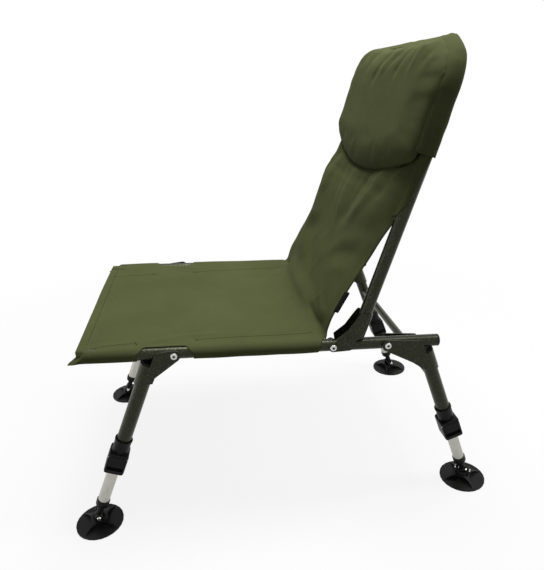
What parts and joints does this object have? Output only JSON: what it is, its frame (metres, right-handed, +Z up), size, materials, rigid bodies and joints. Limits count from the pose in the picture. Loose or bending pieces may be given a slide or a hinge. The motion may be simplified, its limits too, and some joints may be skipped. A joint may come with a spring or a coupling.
{
  "type": "folding fishing chair",
  "caption": "Low folding carp chair: olive cloth seat and padded back on a tube frame, with fold-under telescopic legs and wide swivel feet.",
  "frame": {"origin": "on the floor under the middle of the chair", "axes": "+Z up, -Y the way the occupant faces, +X the occupant's left"},
  "size_m": [0.5355, 0.8149, 0.8329],
  "materials": {
    "hammered_paint": "hammered charcoal green paint",
    "black_plastic": "satin moulded plastic",
    "bright_steel": "bright rolled steel",
    "satin_aluminium": "satin anodised",
    "olive_cloth": "woven olive polyester"
  },
  "bodies": {
    "rails": {"rail_left": "hammered_paint", "rail_cap_left": "black_plastic", "leg_rivet_front_left": "bright_steel", "leg_rivet_rear_left": "bright_steel", "back_rivet_left": "bright_steel", "rail_right": "hammered_paint", "rail_cap_right": "black_plastic", "leg_rivet_front_right": "bright_steel", "leg_rivet_rear_right": "bright_steel", "back_rivet_right": "bright_steel", "seat_cloth": "olive_cloth"},
    "back": {"back_frame": "hammered_paint", "back_cloth": "olive_cloth", "lumbar_cloth": "olive_cloth", "head_pillow": "olive_cloth", "back_bracket_left": "hammered_paint", "back_bracket_right": "hammered_paint"},
    "front_legs": {"cross_bar_front": "hammered_paint", "leg_bracket_front_left": "hammered_paint", "outer_leg_front_left": "hammered_paint", "leg_plug_front_left": "black_plastic", "clamp_body_front_left": "black_plastic", "clamp_pin_front_left": "bright_steel", "leg_bracket_front_right": "hammered_paint", "outer_leg_front_right": "hammered_paint", "leg_plug_front_right": "black_plastic", "clamp_body_front_right": "black_plastic", "clamp_pin_front_right": "bright_steel"},
    "extension_front_left": {"inner_leg_front_left": "satin_aluminium"},
    "lever_front_left": {"clamp_lever_front_left": "black_plastic"},
    "ankle_front_left": {"foot_joint_front_left": "black_plastic"},
    "foot_front_left": {"foot_disc_front_left": "black_plastic", "foot_pin_front_left": "bright_steel"},
    "extension_front_right": {"inner_leg_front_right": "satin_aluminium"},
    "lever_front_right": {"clamp_lever_front_right": "black_plastic"},
    "ankle_front_right": {"foot_joint_front_right": "black_plastic"},
    "foot_front_right": {"foot_disc_front_right": "black_plastic", "foot_pin_front_right": "bright_steel"},
    "rear_legs": {"cross_bar_rear": "hammered_paint", "leg_bracket_rear_left": "hammered_paint", "outer_leg_rear_left": "hammered_paint", "leg_plug_rear_left": "black_plastic", "clamp_body_rear_left": "black_plastic", "clamp_pin_rear_left": "bright_steel", "leg_bracket_rear_right": "hammered_paint", "outer_leg_rear_right": "hammered_paint", "leg_plug_rear_right": "black_plastic", "clamp_body_rear_right": "black_plastic", "clamp_pin_rear_right": "bright_steel"},
    "extension_rear_left": {"inner_leg_rear_left": "satin_aluminium"},
    "lever_rear_left": {"clamp_lever_rear_left": "black_plastic"},
    "ankle_rear_left": {"foot_joint_rear_left": "black_plastic"},
    "foot_rear_left": {"foot_disc_rear_left": "black_plastic", "foot_pin_rear_left": "bright_steel"},
    "extension_rear_right": {"inner_leg_rear_right": "satin_aluminium"},
    "lever_rear_right": {"clamp_lever_rear_right": "black_plastic"},
    "ankle_rear_right": {"foot_joint_rear_right": "black_plastic"},
    "foot_rear_right": {"foot_disc_rear_right": "black_plastic", "foot_pin_rear_right": "bright_steel"}
  },
  "joints": [
    {"name": "back_fold", "type": "hinge", "parent": "rails", "child": "back", "pos_m": [0, 0.08829, 0.33485], "axis": [1, 0, 0], "range_deg": [0, 100], "deforming": ["lumbar_cloth"]},
    {"name": "front_legs_fold", "type": "hinge", "parent": "rails", "child": "front_legs", "pos_m": [0, -0.18716, 0.3489], "axis": [1, 0, 0], "range_deg": [0, 105]},
    {"name": "extension_front_left", "type": "slide", "parent": "front_legs", "child": "extension_front_left", "axis": [0, 0.3907, 0.9205], "range_m": [-0.06, 0.05]},
    {"name": "lever_front_left", "type": "hinge", "parent": "front_legs", "child": "lever_front_left", "pos_m": [0.24, -0.3063, 0.15522], "axis": [0, -0.9205, 0.3907], "range_deg": [0, 95]},
    {"name": "swivel_front_left", "type": "hinge", "parent": "extension_front_left", "child": "ankle_front_left", "pos_m": [0.224, -0.3637, 0.02], "axis": [0, 0.3907, 0.9205], "continuous": true},
    {"name": "tilt_front_left", "type": "hinge", "parent": "ankle_front_left", "child": "foot_front_left", "pos_m": [0.224, -0.3637, 0.02], "axis": [0.9781, 0.2079, 0], "range_deg": [-68, 22]},
    {"name": "extension_front_right", "type": "slide", "parent": "front_legs", "child": "extension_front_right", "axis": [0, 0.3907, 0.9205], "range_m": [-0.06, 0.05]},
    {"name": "lever_front_right", "type": "hinge", "parent": "front_legs", "child": "lever_front_right", "pos_m": [-0.208, -0.3063, 0.15522], "axis": [0, -0.9205, 0.3907], "range_deg": [0, 95]},
    {"name": "swivel_front_right", "type": "hinge", "parent": "extension_front_right", "child": "ankle_front_right", "pos_m": [-0.224, -0.3637, 0.02], "axis": [0, 0.3907, 0.9205], "continuous": true},
    {"name": "tilt_front_right", "type": "hinge", "parent": "ankle_front_right", "child": "foot_front_right", "pos_m": [-0.224, -0.3637, 0.02], "axis": [1, 0, 0], "range_deg": [-68, 22]},
    {"name": "rear_legs_fold", "type": "hinge", "parent": "rails", "child": "rear_legs", "pos_m": [0, 0.18716, 0.3298], "axis": [1, 0, 0], "range_deg": [-108, 0]},
    {"name": "extension_rear_left", "type": "slide", "parent": "rear_legs", "child": "extension_rear_left", "axis": [0, 0.3354, -0.9421], "range_m": [-0.05, 0.06]},
    {"name": "lever_rear_left", "type": "hinge", "parent": "rear_legs", "child": "lever_rear_left", "pos_m": [0.24, 0.31811, 0.14803], "axis": [0, -0.9421, -0.3354], "range_deg": [0, 95]},
    {"name": "swivel_rear_left", "type": "hinge", "parent": "extension_rear_left", "child": "ankle_rear_left", "pos_m": [0.224, 0.3637, 0.02], "axis": [0, -0.3354, 0.9421], "continuous": true},
    {"name": "tilt_rear_left", "type": "hinge", "parent": "ankle_rear_left", "child": "foot_rear_left", "pos_m": [0.224, 0.3637, 0.02], "axis": [-0.6157, -0.788, 0], "range_deg": [-65, 25]},
    {"name": "extension_rear_right", "type": "slide", "parent": "rear_legs", "child": "extension_rear_right", "axis": [0, 0.3354, -0.9421], "range_m": [-0.05, 0.06]},
    {"name": "lever_rear_right", "type": "hinge", "parent": "rear_legs", "child": "lever_rear_right", "pos_m": [-0.208, 0.31811, 0.14803], "axis": [0, -0.9421, -0.3354], "range_deg": [0, 95]},
    {"name": "swivel_rear_right", "type": "hinge", "parent": "extension_rear_right", "child": "ankle_rear_right", "pos_m": [-0.224, 0.3637, 0.02], "axis": [0, -0.3354, 0.9421], "continuous": true},
    {"name": "tilt_rear_right", "type": "hinge", "parent": "ankle_rear_right", "child": "foot_rear_right", "pos_m": [-0.224, 0.3637, 0.02], "axis": [-0.9781, -0.2079, 0], "range_deg": [-65, 25]}
  ]
}
